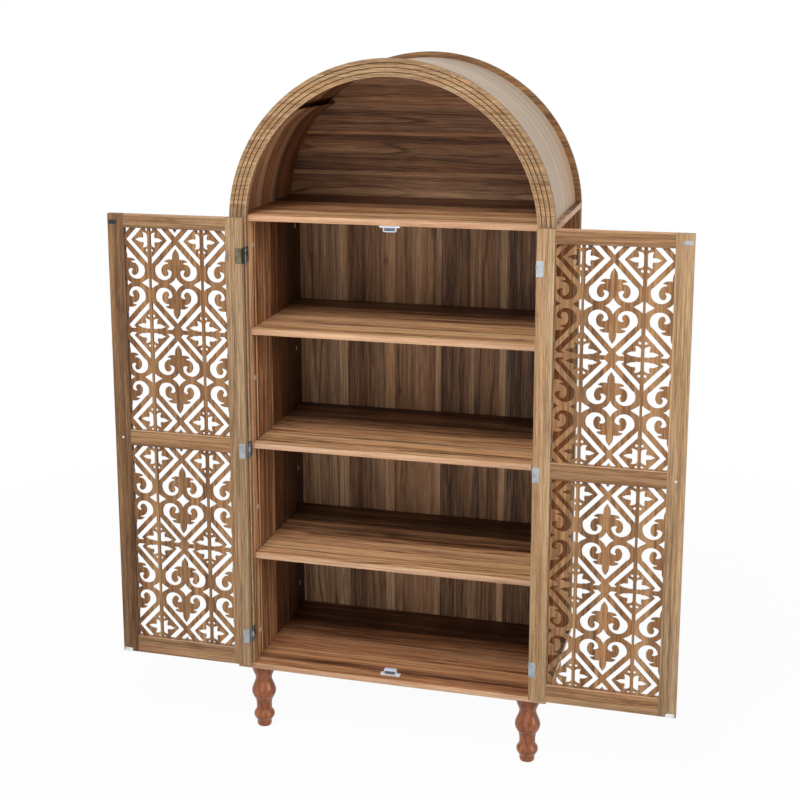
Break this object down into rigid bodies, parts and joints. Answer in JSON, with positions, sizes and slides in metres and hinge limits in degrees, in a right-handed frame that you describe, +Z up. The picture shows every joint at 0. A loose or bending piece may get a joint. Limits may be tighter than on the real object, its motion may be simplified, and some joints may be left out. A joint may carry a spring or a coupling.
{
  "type": "carved arched cabinet",
  "caption": "Tall cabinet with an arched open niche above shelves, pierced fretwork doors on hinges, and turned legs.",
  "frame": {"origin": "on the floor, midway between the front and back of the whole object with its doors standing open", "axes": "+X to the viewer's right, +Y to the back, +Z up; the front faces -Y"},
  "size_m": [1.427, 0.4754, 1.74],
  "materials": {
    "frame_wood": "warm tan stained hardwood, satin",
    "door_wood": "tan stained hardwood, satin",
    "fretwork_wood": "brown stained board, matte",
    "panel_wood": "brown wood veneer, satin",
    "back_board": "dark brown thin board, matte",
    "hood_ply": "pale grey-beige bent ply, satin",
    "leg_wood": "reddish brown turned wood, glossy",
    "steel": "zinc plated",
    "white_plastic": "bluish white moulded",
    "magnet": "dark ferrite"
  },
  "bodies": {
    "case": {"bottom_panel": "panel_wood", "top_panel": "panel_wood", "back_panel": "back_board", "side_panel_left": "panel_wood", "side_panel_right": "panel_wood", "front_stile_left": "frame_wood", "front_stile_right": "frame_wood", "rear_stile_left": "frame_wood", "rear_stile_right": "frame_wood", "shelf_lower": "panel_wood", "shelf_middle": "panel_wood", "shelf_upper": "panel_wood", "shelf_clips": "steel", "turned_legs": "leg_wood", "front_arch_feet": "frame_wood", "front_arch_crown": "frame_wood", "rear_arch_feet": "frame_wood", "rear_arch_crown": "frame_wood", "hood_skin": "hood_ply", "hood_liner_left": "panel_wood", "hood_liner_right": "panel_wood", "arch_back_panel": "back_board", "catch_housings": "white_plastic", "catch_pole_plates": "steel", "catch_magnets": "magnet", "hinge_frame_leaves": "steel"},
    "left_door": {"door_hinge_stile_left": "door_wood", "door_free_stile_left": "door_wood", "door_bottom_rail_left": "door_wood", "door_middle_rail_left": "door_wood", "door_top_rail_left": "door_wood", "door_lower_fretwork_left": "fretwork_wood", "door_upper_fretwork_left": "fretwork_wood", "door_fittings_left": "steel", "door_hinge_leaves_left": "steel"},
    "right_door": {"door_hinge_stile_right": "door_wood", "door_free_stile_right": "door_wood", "door_bottom_rail_right": "door_wood", "door_middle_rail_right": "door_wood", "door_top_rail_right": "door_wood", "door_lower_fretwork_right": "fretwork_wood", "door_upper_fretwork_right": "fretwork_wood", "door_fittings_right": "steel", "door_hinge_leaves_right": "steel"}
  },
  "joints": [
    {"name": "left_door_hinge", "type": "hinge", "parent": "case", "child": "left_door", "pos_m": [-0.3575, -0.21575, 0.776], "axis": [0, 0, 1], "range_deg": [-5, 180]},
    {"name": "right_door_hinge", "type": "hinge", "parent": "case", "child": "right_door", "pos_m": [0.3575, -0.21575, 0.776], "axis": [0, 0, -1], "range_deg": [-5, 180]}
  ]
}
